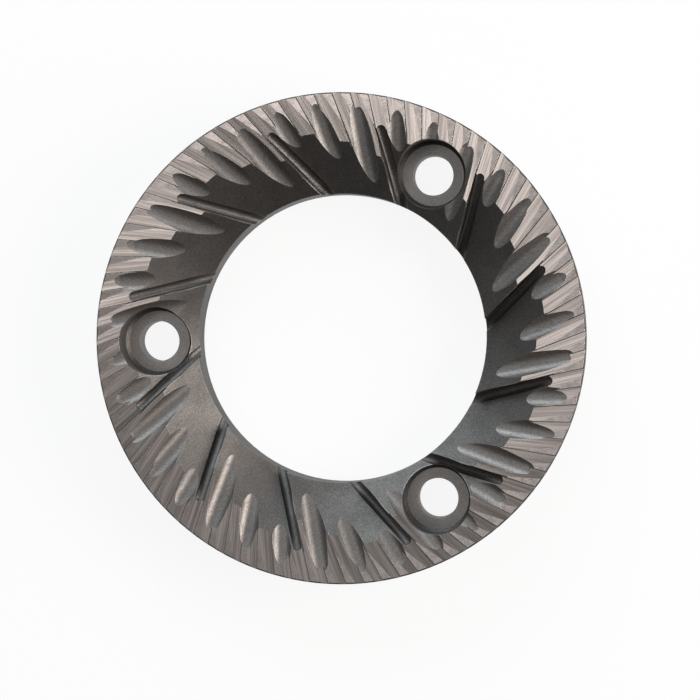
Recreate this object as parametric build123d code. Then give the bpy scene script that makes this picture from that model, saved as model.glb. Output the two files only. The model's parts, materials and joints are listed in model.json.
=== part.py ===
from build123d import *
import os
from math import asin, cos, degrees, radians, sin, sqrt, tan

# Ring blank. The back face lies on Z = 0 and the cutting face looks up +Z.
outer_diameter = 64.0
bore_diameter = 38.0
thickness = 9.0
rim_edge_break = 0.2
back_rim_chamfer = 0.6
back_bore_chamfer = 0.4

# How the cutting face repeats around the ring
sector_count = 12
scallops_per_sector = 3
finishing_grooves_per_sector = 7

# Walls: each stands on a straight line that misses the ring's axis by this much
wall_line_offset = 11.4
wall_rim_angle = 23.8

# Feed facets: conical floors that sink towards the bore and end against a wall
facet_slope_angle = 31.5
facet_cone_land_radius = 22.5
facet_cone_x = 7.1
facet_cone_y = 1.0
facet_floor_depth = 5.5

# Relief groove along the foot of each wall: a steep nose, then a gentler run to the bore
foot_groove_radius = 0.7
foot_groove_tip_radius = 28.3
foot_groove_nose_angle = 50.0
foot_groove_nose_depth = 0.45
foot_groove_sink_angle = 24.7

# Scallops: round-bottomed feed channels with a blunt nose towards the rim
scallop_radius = 1.53
scallop_line_offset = 7.65
scallop_rim_angle = 6.7
scallop_tip_radius = 30.6
scallop_nose_angle = 18.0
scallop_nose_depth = 0.28
scallop_sink_angle = 11.6

# Finishing grooves: one steep side, one gentle side, getting deeper inwards
finishing_line_offset = 10.4
finishing_rim_angle = 1.85
finishing_rim_depth = 0.17
finishing_floor_angle = 9.5
finishing_sink_angle = 1.6
finishing_inner_radius = 22.5

# Through holes with flat seats for the fixing screws
screw_count = 3
screw_pitch_radius = 24.5
screw_angle = 60.9
screw_hole_diameter = 5.3
seat_diameter = 9.0
seat_depth = 5.4
seat_corner_bevel = 0.45

# How far cutters stand clear of the surfaces they leave
cutter_clearance = 1.0

outer_radius = outer_diameter / 2
bore_radius = bore_diameter / 2
ring_width = outer_radius - bore_radius
land_z = thickness
foot_groove_offset = wall_line_offset + foot_groove_radius


def line_rotation(line_offset, rim_angle):
    """Turn about Z that puts the line Y = -line_offset through rim_angle at the rim."""
    return rim_angle + degrees(asin(line_offset / outer_radius))


def distance_along_line(radius, line_offset):
    """X at which the line Y = -line_offset is this far from the ring's axis."""
    return sqrt(radius**2 - line_offset**2)


def repeated(cutter, line_offset, rim_angle, count):
    """Copies of a cutter, evenly spaced around the ring."""
    first = line_rotation(line_offset, rim_angle)
    return [Rot(0, 0, first + index * 360 / count) * cutter for index in range(count)]


def ring_blank():
    """Plain ring with its edges broken."""
    profile = Polyline(
        (bore_radius, back_bore_chamfer),
        (bore_radius + back_bore_chamfer, 0),
        (outer_radius - back_rim_chamfer, 0),
        (outer_radius, back_rim_chamfer),
        (outer_radius, land_z - rim_edge_break),
        (outer_radius - rim_edge_break, land_z),
        (bore_radius, land_z),
        close=True,
    )
    return revolve(Plane.XZ * make_face(profile), Axis.Z)


def facet_cutter():
    """Offset cone, ended by the plane of the wall it runs into."""
    radius_per_depth = 1 / tan(radians(facet_slope_angle))
    cone = Cone(
        bottom_radius=facet_cone_land_radius - facet_floor_depth * radius_per_depth,
        top_radius=facet_cone_land_radius + cutter_clearance * radius_per_depth,
        height=facet_floor_depth + cutter_clearance,
        align=(Align.CENTER, Align.CENTER, Align.MIN),
    )
    cone = Pos(facet_cone_x, facet_cone_y, land_z - facet_floor_depth) * cone
    block = Box(
        outer_radius + cutter_clearance,
        outer_radius - wall_line_offset - cutter_clearance,
        thickness,
        align=(Align.MIN, Align.MAX, Align.CENTER),
    )
    return cone & (Pos(0, -wall_line_offset, land_z) * block)


def channel_cutter(radius, line_offset, tip_radius, nose_angle, nose_depth, sink_angle):
    """Sloping bar with a tapered nose: its underside drops in steeply, then sinks gently."""
    sink = radians(sink_angle)
    nose_x = distance_along_line(tip_radius, line_offset) - nose_depth / tan(radians(nose_angle))
    nose_length = radius / tan(radians(nose_angle - sink_angle))
    bar = Cylinder(radius, ring_width, align=(Align.CENTER, Align.CENTER, Align.MAX))
    nose = Cone(radius, 0, nose_length, align=(Align.CENTER, Align.CENTER, Align.MIN))
    nose_plane = Plane(
        origin=(
            nose_x - radius * sin(sink),
            -line_offset,
            land_z - nose_depth + radius * cos(sink),
        ),
        z_dir=(cos(sink), 0, sin(sink)),
    )
    return nose_plane * (bar + nose)


def finishing_cutter():
    """Sloping prism with one upright side and one gentle side."""
    start_x = distance_along_line(outer_radius, finishing_line_offset) + cutter_clearance
    end_x = distance_along_line(finishing_inner_radius, finishing_line_offset)
    sink = tan(radians(finishing_sink_angle))
    start_z = land_z - finishing_rim_depth + cutter_clearance * sink
    height = finishing_rim_depth + (start_x - end_x) * sink + cutter_clearance
    width = height / tan(radians(finishing_floor_angle))
    section_plane = Plane(
        origin=(start_x, -finishing_line_offset, start_z),
        x_dir=(0, -1, 0),
        z_dir=(-1, 0, -sink),
    )
    section = make_face(Polyline((0, 0), (width, height), (0, height), close=True))
    return extrude(section_plane * section, start_x - end_x)


def screw_hole_cutter():
    """Through hole with a flat-bottomed seat for the screw's head."""
    seat = Cylinder(
        seat_diameter / 2,
        seat_depth + cutter_clearance,
        align=(Align.CENTER, Align.CENTER, Align.MIN),
    )
    seat = chamfer(seat.edges().sort_by(Axis.Z)[0], seat_corner_bevel)
    hole = Cylinder(screw_hole_diameter / 2, thickness + 2 * cutter_clearance)
    return Pos(0, 0, land_z - seat_depth) * seat + Pos(0, 0, thickness / 2) * hole


facets = repeated(facet_cutter(), wall_line_offset, wall_rim_angle, sector_count)
foot_grooves = repeated(
    channel_cutter(
        foot_groove_radius,
        foot_groove_offset,
        foot_groove_tip_radius,
        foot_groove_nose_angle,
        foot_groove_nose_depth,
        foot_groove_sink_angle,
    ),
    wall_line_offset,
    wall_rim_angle,
    sector_count,
)
scallops = repeated(
    channel_cutter(
        scallop_radius,
        scallop_line_offset,
        scallop_tip_radius,
        scallop_nose_angle,
        scallop_nose_depth,
        scallop_sink_angle,
    ),
    scallop_line_offset,
    scallop_rim_angle,
    sector_count * scallops_per_sector,
)
finishing_grooves = repeated(
    finishing_cutter(),
    finishing_line_offset,
    finishing_rim_angle,
    sector_count * finishing_grooves_per_sector,
)
screw_holes = [
    Rot(0, 0, screw_angle + index * 360 / screw_count) * Pos(screw_pitch_radius, 0, 0) * screw_hole_cutter()
    for index in range(screw_count)
]

burr = ring_blank()
burr = burr - facets
burr = burr - foot_grooves
burr = burr - scallops
burr = burr - finishing_grooves
burr = burr - screw_holes

os.makedirs("parts", exist_ok=True)
export_step(burr, "parts/grinding_burr.step")
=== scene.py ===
import json
import logging
from dataclasses import dataclass, field
from enum import Enum
from math import atan2, cos, pi, radians, sin, tan

import bmesh
import bpy
from mathutils import Matrix, Vector


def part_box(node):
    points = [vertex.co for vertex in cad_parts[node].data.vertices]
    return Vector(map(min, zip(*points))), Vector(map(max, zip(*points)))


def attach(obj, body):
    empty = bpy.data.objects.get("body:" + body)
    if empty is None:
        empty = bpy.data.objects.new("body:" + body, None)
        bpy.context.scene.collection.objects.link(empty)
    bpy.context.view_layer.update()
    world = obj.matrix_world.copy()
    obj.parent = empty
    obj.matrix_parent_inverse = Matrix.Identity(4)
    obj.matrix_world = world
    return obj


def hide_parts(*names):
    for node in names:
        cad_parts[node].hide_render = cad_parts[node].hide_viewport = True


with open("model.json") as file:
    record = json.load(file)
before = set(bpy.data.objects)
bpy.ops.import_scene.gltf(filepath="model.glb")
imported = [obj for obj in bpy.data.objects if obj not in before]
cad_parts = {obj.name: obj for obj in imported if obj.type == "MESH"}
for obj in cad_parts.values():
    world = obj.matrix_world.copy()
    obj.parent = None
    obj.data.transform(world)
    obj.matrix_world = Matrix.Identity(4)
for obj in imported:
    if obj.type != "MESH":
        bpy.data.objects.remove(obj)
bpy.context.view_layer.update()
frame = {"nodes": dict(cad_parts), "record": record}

log = logging.getLogger("grinding burr")

MM = 0.001
NODE = "grinding_burr"
GRINDING_MAP = "grinding"


class Finish(Enum):
    """The ways in which the ring's surfaces are made."""

    GROUND_LAND = "ground_land_steel"
    GROUND_GROOVE = "ground_groove_steel"
    BLASTED = "blasted_steel"
    MILLED = "milled_steel"
    COUNTERBORED = "counterbored_steel"
    TURNED = "turned_steel"


class Value:
    """A number that changes over a surface, held as the socket that gives it."""

    def __init__(self, bench: "Bench", socket: bpy.types.NodeSocket) -> None:
        """Keep the socket and the bench that adds its nodes."""
        self.bench = bench
        self.socket = socket

    def math(self, operation: str, first: object, second: object) -> "Value":
        """Add one Math node.

        Args:
            operation: the node's operation.
            first: a number or a Value.
            second: a number or a Value.

        Returns:
            The node's result.
        """
        return self.bench.add("ShaderNodeMath", {"operation": operation}, {0: first, 1: second})

    def __add__(self, other: object) -> "Value":
        """Sum of two values."""
        return self.math("ADD", self, other)

    __radd__ = __add__

    def __sub__(self, other: object) -> "Value":
        """This value less the other."""
        return self.math("SUBTRACT", self, other)

    def __rsub__(self, other: object) -> "Value":
        """The other value less this one."""
        return self.math("SUBTRACT", other, self)

    def __mul__(self, other: object) -> "Value":
        """Product of two values."""
        return self.math("MULTIPLY", self, other)

    __rmul__ = __mul__

    def __truediv__(self, other: object) -> "Value":
        """This value over the other."""
        return self.math("DIVIDE", self, other)


class Bench:
    """Where the nodes of one material or world are put together."""

    edge_rays: int = 4

    def __init__(self, owner: bpy.types.ID) -> None:
        """Start the node tree.

        Args:
            owner: a new material or world.
        """
        owner.use_nodes = True
        self.owner = owner
        self.tree = owner.node_tree

    def node(self, kind: str, settings: dict, inputs: dict) -> bpy.types.Node:
        """Add one node.

        Args:
            kind: the node's type.
            settings: its settings, where stops are a ramp's places and colours.
            inputs: numbers, colours, sockets or Values for its sockets, by name or place.

        Returns:
            The node.
        """
        made = self.tree.nodes.new(kind)
        for key, setting in settings.items():
            if key == "stops":
                self.set_stops(made.color_ramp, setting)
            else:
                setattr(made, key, setting)
        self.fill(made, inputs)
        return made

    def fill(self, node: bpy.types.Node, inputs: dict) -> None:
        """Set or link a node's sockets.

        Args:
            node: the node.
            inputs: numbers, colours, sockets or Values, by the socket's name or place.
        """
        for key, given in inputs.items():
            source = given.socket if isinstance(given, Value) else given
            if isinstance(source, bpy.types.NodeSocket):
                self.tree.links.new(source, node.inputs[key])
            else:
                node.inputs[key].default_value = source

    def add(self, kind: str, settings: dict, inputs: dict, output: object = 0) -> Value:
        """Add one node and give one of its outputs.

        Args:
            kind: the node's type.
            settings: its settings.
            inputs: what its sockets get.
            output: the output's name or place.

        Returns:
            That output.
        """
        return Value(self, self.node(kind, settings, inputs).outputs[output])

    @staticmethod
    def set_stops(ramp: bpy.types.ColorRamp, stops: list) -> None:
        """Give a new ramp its stops.

        Args:
            ramp: a new ramp, which has two stops.
            stops: two pairs of place and colour, in order.
        """
        for element, (place, colour) in zip(ramp.elements, stops):
            element.position = place
            element.color = (*colour, 1.0)

    def step(self, value: object, low: float, high: float) -> Value:
        """Smooth rise from 0 at low to 1 at high."""
        places = {"Value": value, "From Min": low, "From Max": high}
        return self.add("ShaderNodeMapRange", {"interpolation_type": "SMOOTHSTEP"}, places)

    def mix(self, factor: object, first: object, second: object) -> Value:
        """Colour between two colours.

        Args:
            factor: how much of the second.
            first: the first colour.
            second: the second colour.

        Returns:
            The mixed colour.
        """
        return self.add("ShaderNodeMix", {"data_type": "RGBA"}, {0: factor, 6: first, 7: second}, 2)

    def position(self) -> Value:
        """Read Object coordinates.

        Returns:
            Place on the object, in millimetres.
        """
        coordinates = self.node("ShaderNodeTexCoord", {}, {})
        scaled = {0: coordinates.outputs["Object"], "Scale": 1 / MM}
        return self.add("ShaderNodeVectorMath", {"operation": "SCALE"}, scaled)

    def grinding_map(self) -> tuple[Value, Value, Value]:
        """Place on the piece's own grinding map, in millimetres, in parts."""
        return self.split(self.add("ShaderNodeUVMap", {"uv_map": GRINDING_MAP}, {}))

    def split(self, vector: Value) -> tuple[Value, Value, Value]:
        """The three parts of a vector."""
        node = self.node("ShaderNodeSeparateXYZ", {}, {0: vector})
        return tuple(Value(self, socket) for socket in node.outputs)

    def vector(self, x: object, y: object, z: object = 0.0) -> Value:
        """A vector from its parts."""
        return self.add("ShaderNodeCombineXYZ", {}, {0: x, 1: y, 2: z})

    def polar(self, x: Value, y: Value) -> tuple[Value, Value]:
        """Distance from the axis and turn about it, in radians."""
        radius = self.add("ShaderNodeVectorMath", {"operation": "LENGTH"}, {0: self.vector(x, y)}, "Value")
        return radius, radius.math("ARCTAN2", y, x)

    def noise(self, vector: Value, size: float = 1.0, detail: float = 2.0, rough: float = 0.6) -> Value:
        """Cloudy noise.

        Args:
            vector: where it is read.
            size: how large one cloud is.
            detail: how many finer layers it has.
            rough: how strong the finer layers are.

        Returns:
            The noise, about 0.5 on average.
        """
        inputs = {"Vector": vector, "Scale": 1 / size, "Detail": detail, "Roughness": rough}
        return self.add("ShaderNodeTexNoise", {}, inputs)

    def outward_edges(self, width: float) -> Value:
        """Mask that is 1 on outward edges and 0 away from them.

        Args:
            width: how far it reaches from an edge, in metres.

        Returns:
            The mask.
        """
        settings = {"inside": True, "only_local": True, "samples": self.edge_rays}
        return 1.0 - self.add("ShaderNodeAmbientOcclusion", settings, {"Distance": width}, "AO")

    def bumped(self, height: Value, depth: float, rounding: float) -> Value:
        """Normal that follows a height, over edges that are slightly rounded.

        Args:
            height: the height, from 0 to 1.
            depth: how far apart 0 and 1 are, in metres.
            rounding: radius of the edges, in metres.

        Returns:
            The normal.
        """
        rounded = self.add("ShaderNodeBevel", {"samples": self.edge_rays}, {"Radius": rounding})
        inputs = {"Height": height, "Distance": depth, "Strength": 1.0, "Normal": rounded}
        return self.add("ShaderNodeBump", {}, inputs)


def blend(first: Value, second: Value, share: float) -> Value:
    """A share of the first value and the rest of the second."""
    return share * first + (1.0 - share) * second


@dataclass(frozen=True)
class Steel:
    """What the ring's finishes share: two tones, and a fine relief over rounded edges."""

    finish: Finish
    pale: tuple
    dark: tuple
    metallic: float
    tone_range: tuple
    roughness: float
    relief_depth: float
    edge_width: float

    def bench(self) -> Bench:
        """A bench with this finish's new material."""
        return Bench(bpy.data.materials.new(self.finish.value))

    def two_tones(self, bench: Bench, mottle: Value) -> tuple[Value, Value]:
        """Turn a mottle into the finish's tones.

        Args:
            bench: where the nodes go.
            mottle: what tells pale places from dark ones, about 0.5 on average.

        Returns:
            How pale each place is, and its colour.
        """
        tone = bench.step(mottle, *self.tone_range)
        return tone, bench.mix(tone, (*self.dark, 1.0), (*self.pale, 1.0))

    def shaded(self, bench: Bench, colour: Value, rough: Value, relief: Value) -> bpy.types.Material:
        """Set the shader's sockets.

        Args:
            bench: where the nodes go.
            colour: the surface's colour.
            rough: its roughness.
            relief: the height of its tool marks.

        Returns:
            The finished material.
        """
        normal = bench.bumped(relief, self.relief_depth, self.edge_width / 3)
        inputs = {"Base Color": colour, "Metallic": self.metallic, "Roughness": rough, "Normal": normal}
        bench.fill(bench.tree.nodes["Principled BSDF"], inputs)
        return bench.owner


@dataclass(frozen=True)
class WearAndHighlightSteel(Steel):
    """Steel with bright outward edges, partly wear and partly painted highlight, smoother where it is
    pale.
    """

    # Colour of the outward edges: partly wear, partly a painted highlight.
    wear_and_highlight_colour: tuple
    wear_and_highlight_share: float
    polish: float
    edge_polish: float

    def dressed(self, bench: Bench, relief: Value, mottle: Value) -> bpy.types.Material:
        """Put tones, bright edges of wear and painted highlight, gloss and relief together.

        Args:
            bench: where the nodes go.
            relief: the height of the tool marks, from 0 to 1.
            mottle: what tells pale places from dark ones.

        Returns:
            The finished material.
        """
        tone, colour = self.two_tones(bench, mottle)
        edge = bench.outward_edges(self.edge_width)
        # Outward edges are brightened: partly wear, partly a painted highlight along each edge.
        colour = bench.mix(self.wear_and_highlight_share * edge, colour, (*self.wear_and_highlight_colour, 1.0))
        rough = self.roughness - self.polish * tone
        if self.edge_polish:
            rough = rough - self.edge_polish * edge
        return self.shaded(bench, colour, rough, relief)


@dataclass(frozen=True)
class GroundLandSteel(WearAndHighlightSteel):
    """Face-ground steel of the lands: pale, with short crossing arcs and soft blotches."""

    finish: Finish = Finish.GROUND_LAND
    pale: tuple = (0.80, 0.715, 0.67)
    dark: tuple = (0.52, 0.455, 0.43)
    wear_and_highlight_colour: tuple = (0.95, 0.91, 0.88)
    metallic: float = 0.9
    tone_range: tuple = (0.34, 0.62)
    wear_and_highlight_share: float = 0.6
    roughness: float = 0.18
    polish: float = 0.04
    edge_polish: float = 0.0
    relief_depth: float = 0.0012 * MM
    edge_width: float = 0.10 * MM
    wheel_axes: tuple = ((29.0, -40.0), (-46.0, -52.0))
    first_wheel_share: float = 0.6
    streak_share: float = 0.55
    arc_pitch: float = 0.22
    arc_length: float = 1.6
    blotch_size: float = 1.1

    def arcs(self, bench: Bench, place: Value, axis: tuple) -> Value:
        """Streaks that a grinding wheel leaves around its own axis.

        Args:
            bench: where the nodes go.
            place: place on the object, in millimetres.
            axis: the wheel's axis, in millimetres.

        Returns:
            The streaks, about 0.5 on average.
        """
        shift = {0: place, 1: (-axis[0], -axis[1], 0.0)}
        x, y, _ = bench.split(bench.add("ShaderNodeVectorMath", {"operation": "ADD"}, shift))
        radius, turn = bench.polar(x, y)
        along = turn * (Vector(axis).length / self.arc_length)
        return bench.noise(bench.vector(radius / self.arc_pitch, along))

    def material(self) -> bpy.types.Material:
        """Build the finish.

        Returns:
            The finished material.
        """
        bench = self.bench()
        place = bench.position()
        first, second = (self.arcs(bench, place, axis) for axis in self.wheel_axes)
        streaks = blend(first, second, self.first_wheel_share)
        blotches = bench.noise(place, size=self.blotch_size, detail=3.0, rough=0.5)
        return self.dressed(bench, streaks, blend(streaks, blotches, self.streak_share))


@dataclass(frozen=True)
class GroundGrooveSteel(Steel):
    """Steel of the finishing grooves: fine straight lines along each groove, with a painted shade line
    along its deep side, at the foot of the steep side.
    """

    finish: Finish = Finish.GROUND_GROOVE
    pale: tuple = (0.60, 0.535, 0.50)
    dark: tuple = (0.30, 0.262, 0.245)
    metallic: float = 0.9
    tone_range: tuple = (0.36, 0.64)
    roughness: float = 0.20
    relief_depth: float = 0.0025 * MM
    edge_width: float = 0.08 * MM
    line_pitch: float = 0.15
    line_length: float = 9.0
    fine_share: float = 0.55
    broad_pitch: float = 0.5
    broad_stretch: float = 0.5
    broad_layer: float = 3.7
    # Painted shade: a dark line on the groove floor next to the steep side, where shade falls; it fades
    # out over this span from the steep side, in millimetres.
    painted_shade_range: tuple = (0.052, 0.13)
    painted_shade_colour: tuple = (0.045, 0.038, 0.036)
    painted_shade_strength: float = 0.85
    painted_shade_roughness: float = 0.1

    def material(self) -> bpy.types.Material:
        """Build the finish.

        Returns:
            The finished material.
        """
        bench = self.bench()
        along, across, _ = bench.grinding_map()
        run = along / self.line_length
        fine = bench.noise(bench.vector(run, across / self.line_pitch))
        broad_place = bench.vector(run * self.broad_stretch, across / self.broad_pitch, self.broad_layer)
        broad = bench.noise(broad_place, detail=1.0, rough=0.5)
        lines = blend(fine, broad, self.fine_share)
        _, colour = self.two_tones(bench, lines)
        # Painted shade: the floor is darkened along the foot of the steep side, where shade falls, and
        # made a little rougher there.
        painted_shade = 1.0 - bench.step(across, *self.painted_shade_range)
        colour = bench.mix(self.painted_shade_strength * painted_shade, colour, (*self.painted_shade_colour, 1.0))
        return self.shaded(bench, colour, self.roughness + self.painted_shade_roughness * painted_shade, lines)


@dataclass(frozen=True)
class BlastedSteel(WearAndHighlightSteel):
    """Dark blasted steel of the facets, the walls and the grooves at their feet, with a fine grain; on the
    screw seats' walls its darkness is partly painted shade.
    """

    finish: Finish = Finish.BLASTED
    pale: tuple = (0.15, 0.139, 0.131)
    dark: tuple = (0.078, 0.071, 0.067)
    wear_and_highlight_colour: tuple = (0.36, 0.335, 0.315)
    metallic: float = 0.75
    tone_range: tuple = (0.36, 0.66)
    wear_and_highlight_share: float = 0.8
    roughness: float = 0.51
    polish: float = 0.06
    edge_polish: float = 0.12
    relief_depth: float = 0.024 * MM
    edge_width: float = 0.14 * MM
    grain_size: float = 0.17
    grain_share: float = 0.75
    cloud_size: float = 3.5

    def material(self) -> bpy.types.Material:
        """Build the finish.

        Returns:
            The finished material.
        """
        bench = self.bench()
        place = bench.position()
        grain = bench.noise(place, size=self.grain_size, detail=3.0, rough=0.65)
        clouds = bench.noise(place, size=self.cloud_size, detail=3.0, rough=0.55)
        return self.dressed(bench, grain, blend(grain, clouds, self.grain_share))


@dataclass(frozen=True)
class MilledSteel(WearAndHighlightSteel):
    """Lighter steel of the scallops, with faint lines across the cutter's path."""

    finish: Finish = Finish.MILLED
    pale: tuple = (0.275, 0.255, 0.24)
    dark: tuple = (0.165, 0.15, 0.142)
    wear_and_highlight_colour: tuple = (0.46, 0.43, 0.41)
    metallic: float = 0.8
    tone_range: tuple = (0.34, 0.66)
    wear_and_highlight_share: float = 0.7
    roughness: float = 0.50
    polish: float = 0.06
    edge_polish: float = 0.0
    relief_depth: float = 0.012 * MM
    edge_width: float = 0.12 * MM
    line_pitch: float = 0.14
    line_length: float = 1.1
    line_share: float = 0.4
    grain_size: float = 0.2

    def material(self) -> bpy.types.Material:
        """Build the finish.

        Returns:
            The finished material.
        """
        bench = self.bench()
        along, across, _ = bench.grinding_map()
        lines = bench.noise(bench.vector(along / self.line_pitch, across / self.line_length))
        grain = bench.noise(bench.position(), size=self.grain_size, detail=3.0)
        marks = blend(lines, grain, self.line_share)
        return self.dressed(bench, marks, marks)


@dataclass(frozen=True)
class CounterboredSteel(WearAndHighlightSteel):
    """Pale steel of the screw seats, with fine rings around each screw."""

    finish: Finish = Finish.COUNTERBORED
    pale: tuple = (0.42, 0.395, 0.38)
    dark: tuple = (0.29, 0.272, 0.26)
    wear_and_highlight_colour: tuple = (0.52, 0.49, 0.47)
    metallic: float = 0.8
    tone_range: tuple = (0.34, 0.66)
    wear_and_highlight_share: float = 0.7
    roughness: float = 0.50
    polish: float = 0.08
    edge_polish: float = 0.0
    relief_depth: float = 0.004 * MM
    edge_width: float = 0.12 * MM
    ring_pitch: float = 0.16
    ring_share: float = 0.4

    def material(self) -> bpy.types.Material:
        """Build the finish.

        Returns:
            The finished material.
        """
        bench = self.bench()
        radius, height, _ = bench.grinding_map()
        rings = bench.noise(bench.vector(radius / self.ring_pitch, height / self.ring_pitch))
        grain = bench.noise(bench.position(), size=self.ring_pitch, detail=3.0)
        marks = blend(rings, grain, self.ring_share)
        return self.dressed(bench, marks, marks)


@dataclass(frozen=True)
class TurnedSteel(WearAndHighlightSteel):
    """Dark lathe-turned steel of the rim, the bore and the back, with fine rings; its darkness is partly
    the steel's own and partly painted shade on the rim and in the bore.
    """

    finish: Finish = Finish.TURNED
    # These dark tones are partly painted shade on the rim and in the bore.
    pale: tuple = (0.095, 0.092, 0.09)
    dark: tuple = (0.05, 0.048, 0.046)
    wear_and_highlight_colour: tuple = (0.26, 0.25, 0.24)
    metallic: float = 0.9
    tone_range: tuple = (0.35, 0.66)
    wear_and_highlight_share: float = 0.6
    roughness: float = 0.56
    polish: float = 0.08
    edge_polish: float = 0.0
    relief_depth: float = 0.003 * MM
    edge_width: float = 0.12 * MM
    ring_pitch: float = 0.14
    ring_share: float = 0.65
    turn_stretch: float = 0.8
    cloud_size: float = 6.0

    def material(self) -> bpy.types.Material:
        """Build the finish.

        Returns:
            The finished material.
        """
        bench = self.bench()
        place = bench.position()
        x, y, z = bench.split(place)
        radius, turn = bench.polar(x, y)
        around = bench.vector(radius / self.ring_pitch, z / self.ring_pitch, self.turn_stretch * turn)
        rings = bench.noise(around)
        clouds = bench.noise(place, size=self.cloud_size, detail=3.0, rough=0.5)
        return self.dressed(bench, rings, blend(rings, clouds, self.ring_share))


@dataclass
class Surface:
    """One surface of the ring, as the cutter that made it left it."""

    number: int
    faces: list
    flatness: float = 0.99995
    stray_share: float = 0.1
    normal: Vector = field(default_factory=Vector)
    low: float = 0.0
    high: float = 0.0
    inner: float = 0.0
    outer: float = 0.0
    flat: bool = False

    def measure(self) -> None:
        """Find its mean normal, its reach in height and radius, and whether it is flat."""
        self.normal = sum((face.normal * face.calc_area() for face in self.faces), Vector()).normalized()
        places = [vert.co for face in self.faces for vert in face.verts]
        heights = [place.z for place in places]
        radii = [place.to_2d().length for place in places]
        self.low, self.high = min(heights), max(heights)
        self.inner, self.outer = min(radii), max(radii)
        self.flat = all(face.normal.dot(self.normal) > self.flatness for face in self.faces)

    def leans(self, slope: float, slack: float) -> bool:
        """Tell whether nearly all of it slopes by one angle.

        Args:
            slope: the angle from the horizontal.
            slack: how far the upward part of a normal may be off.

        Returns:
            Whether it does.
        """
        stray = sum(face.calc_area() for face in self.faces if abs(face.normal.z - cos(slope)) > slack)
        return stray < self.stray_share * sum(face.calc_area() for face in self.faces)


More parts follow.
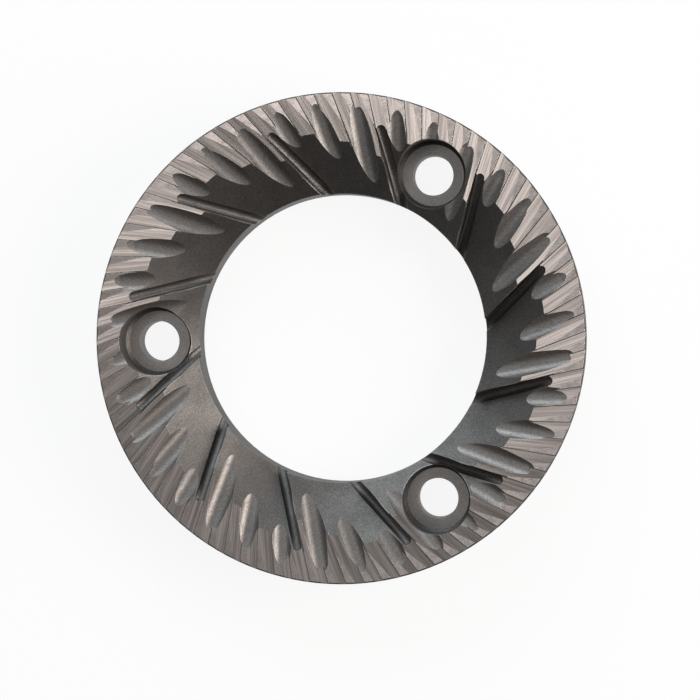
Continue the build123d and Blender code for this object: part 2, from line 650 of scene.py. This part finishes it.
@dataclass
class CuttingRing:
    """The one-piece ring with its teeth, dressed surface by surface."""

    name: str = "cutting_ring"
    body: str = "root"
    groove_line_offset: float = 10.4 * MM
    groove_floor_angle: float = radians(9.5)
    groove_sink_angle: float = radians(1.6)
    steepest_groove_floor: float = radians(12.0)
    groove_wall_height: float = 0.9 * MM
    facet_slope: float = radians(31.5)
    facet_slack: float = 0.02
    foot_nose_inner: float = 27.0 * MM
    foot_nose_outer: float = 28.6 * MM
    first_screw_angle: float = radians(60.9)
    seat_radius: float = 4.5 * MM
    rim_band: float = 0.7 * MM
    bore_band: float = 0.5 * MM
    level: float = radians(0.1)
    upright: float = radians(80.0)
    downward: float = -0.5
    place_slack: float = 0.01 * MM
    merge_distance: float = 0.0005 * MM
    crease_angle: float = radians(3.0)
    finishes: tuple = (
        GroundLandSteel(),
        GroundGrooveSteel(),
        BlastedSteel(),
        MilledSteel(),
        CounterboredSteel(),
        TurnedSteel(),
    )

    def __post_init__(self) -> None:
        """Take the ring's main sizes from the frame."""
        _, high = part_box(NODE)
        mounts = {mount["name"]: mount["dims"] for mount in frame["record"]["mounts"]}
        self.top = high.z
        self.rim_radius = high.x
        self.bore_radius = mounts["bore"]["r_mm"] * MM
        screws = mounts["screws"]
        count = screws["count"]
        turns = [self.first_screw_angle + 2 * pi * index / count for index in range(count)]
        self.screw_axes = [Vector((cos(turn), sin(turn))) * screws["pcd_mm"] / 2 * MM for turn in turns]

    def build(self) -> bpy.types.Object:
        """Make the ring and put it on its body.

        Returns:
            The finished piece.
        """
        ring = self.copied_node()
        numbers = ring.faces.layers.int.new("surface")
        grinding = ring.loops.layers.uv.new(GRINDING_MAP)
        surfaces = self.surfaces(ring)
        for surface in surfaces:
            self.dress(surface, numbers, grinding)
        bmesh.ops.remove_doubles(ring, verts=ring.verts, dist=self.merge_distance)
        self.crease(ring, numbers)
        mesh = bpy.data.meshes.new(self.name)
        ring.to_mesh(mesh)
        ring.free()
        for steel in self.finishes:
            mesh.materials.append(steel.material())
        piece = bpy.data.objects.new(self.name, mesh)
        bpy.context.scene.collection.objects.link(piece)
        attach(piece, self.body)
        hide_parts(NODE)
        log.info("%s: %d surfaces, %d faces", self.name, len(surfaces), len(mesh.polygons))
        return piece

    def copied_node(self) -> bmesh.types.BMesh:
        """Copy the solid's mesh.

        Returns:
            The copy, without the normals that came with the mesh.
        """
        mesh = frame["nodes"][NODE].data.copy()
        mesh.attributes.remove(mesh.attributes["custom_normal"])
        ring = bmesh.new()
        ring.from_mesh(mesh)
        bpy.data.meshes.remove(mesh)
        return ring

    def surfaces(self, ring: bmesh.types.BMesh) -> list[Surface]:
        """Gather the faces that hang together before the mesh is merged.

        Args:
            ring: the ring's mesh, in which each surface is still apart.

        Returns:
            The surfaces, measured.
        """
        found = []
        seen = set()
        for start in ring.faces:
            if start in seen:
                continue
            seen.add(start)
            group = [start]
            for face in group:
                for edge in face.edges:
                    fresh = [near for near in edge.link_faces if near not in seen]
                    seen.update(fresh)
                    group.extend(fresh)
            surface = Surface(len(found), group)
            surface.measure()
            found.append(surface)
        return found

    def from_screw(self, place: Vector) -> float:
        """Distance from a place to the nearest screw's axis."""
        return min((place.to_2d() - axis).length for axis in self.screw_axes)

    def in_a_seat(self, surface: Surface) -> bool:
        """Tell whether a surface lies wholly inside a screw's seat."""
        reach = self.seat_radius + self.place_slack
        return all(self.from_screw(vert.co) < reach for face in surface.faces for vert in face.verts)

    def finish_of(self, surface: Surface) -> Finish:
        """Tell how a surface was made from where it lies and how it faces.

        Args:
            surface: the surface.

        Returns:
            Its finish.
        """
        tilt = surface.normal.angle(Vector((0.0, 0.0, 1.0)))
        stands = surface.flat and tilt > self.upright
        if self.in_a_seat(surface):
            # Seat and hole walls get the dark blasted steel: partly the cast surface, partly painted shade
            # in the recess.
            return Finish.COUNTERBORED if surface.flat else Finish.BLASTED
        if surface.normal.z < self.downward or surface.inner > self.rim_radius - self.rim_band:
            return Finish.TURNED
        if surface.outer < self.bore_radius + self.bore_band:
            return Finish.TURNED
        if surface.flat and tilt < self.level and surface.low > self.top - self.place_slack:
            return Finish.GROUND_LAND
        if surface.flat and self.level < tilt < self.steepest_groove_floor:
            return Finish.GROUND_GROOVE
        if stands and surface.high - surface.low < self.groove_wall_height:
            return Finish.GROUND_GROOVE
        if stands or surface.leans(self.facet_slope, self.facet_slack):
            return Finish.BLASTED
        foot_groove = surface.inner < self.bore_radius + self.bore_band
        foot_nose = self.foot_nose_inner < surface.inner < surface.outer < self.foot_nose_outer
        return Finish.BLASTED if foot_groove or foot_nose else Finish.MILLED

    def dress(self, surface: Surface, numbers: object, grinding: object) -> None:
        """Number a surface's faces, give them their finish and lay the grinding map.

        Args:
            surface: the surface.
            numbers: the layer that holds the surfaces' numbers.
            grinding: the layer that holds the grinding map.
        """
        finish = self.finish_of(surface)
        slot = [steel.finish for steel in self.finishes].index(finish)
        lean = atan2(surface.normal.y, surface.normal.x)
        turned_in = atan2(tan(self.groove_sink_angle), tan(self.groove_floor_angle))
        line = lean - pi / 2 - turned_in
        along = Vector((cos(line), sin(line), 0.0))
        across = Vector((-sin(line), cos(line), 0.0))
        for face in surface.faces:
            face[numbers] = surface.number
            face.material_index = slot
            face.smooth = True
            for loop in face.loops:
                place = loop.vert.co
                if finish is Finish.COUNTERBORED:
                    loop[grinding].uv = (self.from_screw(place) / MM, place.z / MM)
                else:
                    from_wall = -place.dot(across) - self.groove_line_offset
                    run = place.dot(along) + surface.number * self.groove_line_offset
                    loop[grinding].uv = (run / MM, from_wall / MM)

    def crease(self, ring: bmesh.types.BMesh, numbers: object) -> None:
        """Keep each surface smooth and the edges between surfaces sharp.

        Args:
            ring: the merged mesh.
            numbers: the layer that holds the surfaces' numbers.
        """
        for edge in ring.edges:
            if len(edge.link_faces) != 2:
                continue
            first, second = edge.link_faces
            same = first[numbers] == second[numbers]
            edge.smooth = same or edge.calc_face_angle() < self.crease_angle


@dataclass(frozen=True)
class Softbox:
    """One soft rectangular lamp that faces the ring.

    Sizes and place are in metres, the spin about its own axis is in degrees, and a radiance of 1 is white.
    """

    name: str
    place: tuple
    size: tuple
    spin: float
    radiance: float
    colour: tuple

    def build(self) -> None:
        """Make the lamp."""
        width, height = self.size
        light = bpy.data.lights.new(self.name, "AREA")
        light.shape = "RECTANGLE"
        light.size = width
        light.size_y = height
        light.energy = self.radiance * pi * width * height
        light.color = self.colour
        facing = Vector(self.place).to_track_quat("Z", "Y").to_matrix().to_4x4()
        spun = Matrix.Rotation(radians(self.spin), 4, "Z")
        lamp = bpy.data.objects.new(self.name, light)
        lamp.matrix_world = Matrix.Translation(self.place) @ facing @ spun
        bpy.context.scene.collection.objects.link(lamp)


@dataclass
class Studio:
    """White floor, a soft world and soft lamps around the ring."""

    floor_radius: float = 3.0
    floor_sides: int = 96
    floor_gap: float = 0.02 * MM
    floor_colour: tuple = (0.95, 0.95, 0.95)
    floor_roughness: float = 0.9
    floor_glow: float = 0.9
    bright_side: float = radians(65)
    side_pull: float = 0.5
    upward_pull: float = 0.15
    world_lift: float = 0.25
    world_stops: tuple = ((0.0, (0.03, 0.029, 0.028)), (0.5, (0.12, 0.12, 0.123)))
    lamps: tuple = (
        Softbox("ceiling_back", (-0.165, 0.12, 0.6), (0.33, 0.14), -42, 1.2, (1.0, 0.98, 0.96)),
        Softbox("ceiling_left", (-0.34, 0.0, 0.6), (0.15, 0.22), 90, 2.2, (1.0, 0.98, 0.96)),
        Softbox("ceiling_front", (-0.155, -0.2, 0.6), (0.24, 0.12), 38, 1.55, (1.0, 0.98, 0.96)),
        Softbox("ceiling_fill", (0.04, -0.03, 0.6), (0.2, 0.2), 0, 0.34, (1.0, 1.0, 1.0)),
        Softbox("right_softbox", (0.53, 0.0, 0.28), (0.42, 0.35), 0, 8.2, (1.0, 0.95, 0.9)),
        Softbox("back_softbox", (-0.09, 0.52, 0.28), (0.7, 0.35), 0, 4.1, (0.82, 0.93, 1.0)),
    )

    def build(self) -> None:
        """Make the floor, the world and the lamps."""
        self.floor()
        self.world()
        for lamp in self.lamps:
            lamp.build()
        log.info("studio: a floor and %d lamps", len(self.lamps))

    def floor(self) -> None:
        """Round floor just below the ring, which keeps the ring's shadow."""
        disc = bmesh.new()
        below = Matrix.Translation((0.0, 0.0, -self.floor_gap))
        size = {"segments": self.floor_sides, "radius": self.floor_radius}
        bmesh.ops.create_circle(disc, cap_ends=True, matrix=below, **size)
        mesh = bpy.data.meshes.new("studio_floor")
        disc.to_mesh(mesh)
        disc.free()
        mesh.materials.append(self.floor_paint())
        floor = bpy.data.objects.new("studio_floor", mesh)
        bpy.context.scene.collection.objects.link(floor)

    def floor_paint(self) -> bpy.types.Material:
        """Make white paint that glows where it is seen directly or in a reflection.

        Returns:
            The paint.
        """
        bench = Bench(bpy.data.materials.new("studio_white"))
        paint = bench.tree.nodes["Principled BSDF"]
        colour = (*self.floor_colour, 1.0)
        dull = {"Base Color": colour, "Roughness": self.floor_roughness, "Specular IOR Level": 0.0}
        bench.fill(paint, dull)
        rays = bench.node("ShaderNodeLightPath", {}, {}).outputs
        kinds = ("Is Camera Ray", "Is Glossy Ray", "Is Transmission Ray")
        camera, glossy, through = (Value(bench, rays[kind]) for kind in kinds)
        glow = bench.node("ShaderNodeEmission", {}, {"Color": (1.0, 1.0, 1.0, 1.0), "Strength": 1.0})
        seen = self.floor_glow * (camera + glossy + through)
        inputs = {0: seen, 1: paint.outputs[0], 2: glow.outputs[0]}
        mixed = bench.node("ShaderNodeMixShader", {}, inputs)
        bench.fill(bench.tree.nodes["Material Output"], {"Surface": mixed.outputs[0]})
        return bench.owner

    def world(self) -> None:
        """Soft world, lighter towards the upper right of the view."""
        bench = Bench(bpy.data.worlds.new("studio_light"))
        bpy.context.scene.world = bench.owner
        coordinates = bench.node("ShaderNodeTexCoord", {}, {})
        across, up = self.side_pull * cos(self.bright_side), self.side_pull * sin(self.bright_side)
        directions = {0: coordinates.outputs["Generated"], 1: (across, up, self.upward_pull)}
        along = bench.add("ShaderNodeVectorMath", {"operation": "DOT_PRODUCT"}, directions, "Value")
        lifted = {"Fac": along + self.world_lift}
        shade = bench.add("ShaderNodeValToRGB", {"stops": self.world_stops}, lifted)
        bench.fill(bench.tree.nodes["Background"], {"Color": shade, "Strength": 1.0})


@dataclass
class OverheadCamera:
    """Camera nearly above the ring, a little to its right, as the photograph was taken."""

    name: str = "photograph_view"
    place: Vector = field(default_factory=lambda: Vector((36.0, 2.0, 354.0)) * MM)
    aim: Vector = field(default_factory=lambda: Vector((1.45, -1.5, 9.0)) * MM)
    sensor_width: float = 36.0
    lens: float = 137.3
    nearest: float = 0.01

    def build(self) -> None:
        """Make the camera, with +Y up in its picture."""
        back = (self.place - self.aim).normalized()
        right = Vector((0.0, 1.0, 0.0)).cross(back).normalized()
        turned = Matrix((right, back.cross(right), back)).transposed().to_4x4()
        settings = bpy.data.cameras.new(self.name)
        settings.sensor_width = self.sensor_width
        settings.lens = self.lens
        settings.clip_start = self.nearest
        camera = bpy.data.objects.new(self.name, settings)
        camera.matrix_world = Matrix.Translation(self.place) @ turned
        bpy.context.scene.collection.objects.link(camera)
        bpy.context.scene.camera = camera


def clear_defaults() -> None:
    """Take away what a new Blender file comes with."""
    for name in ("Cube", "Light", "Camera"):
        leftover = bpy.data.objects.get(name)
        if leftover is not None:
            bpy.data.objects.remove(leftover, do_unlink=True)


def main() -> None:
    """Build the scene in order."""
    logging.basicConfig(level=logging.INFO, format="%(name)s: %(message)s")
    clear_defaults()
    bpy.context.scene.view_settings.view_transform = "Standard"
    CuttingRing().build()
    Studio().build()
    OverheadCamera().build()


if __name__ == "__main__":
    main()
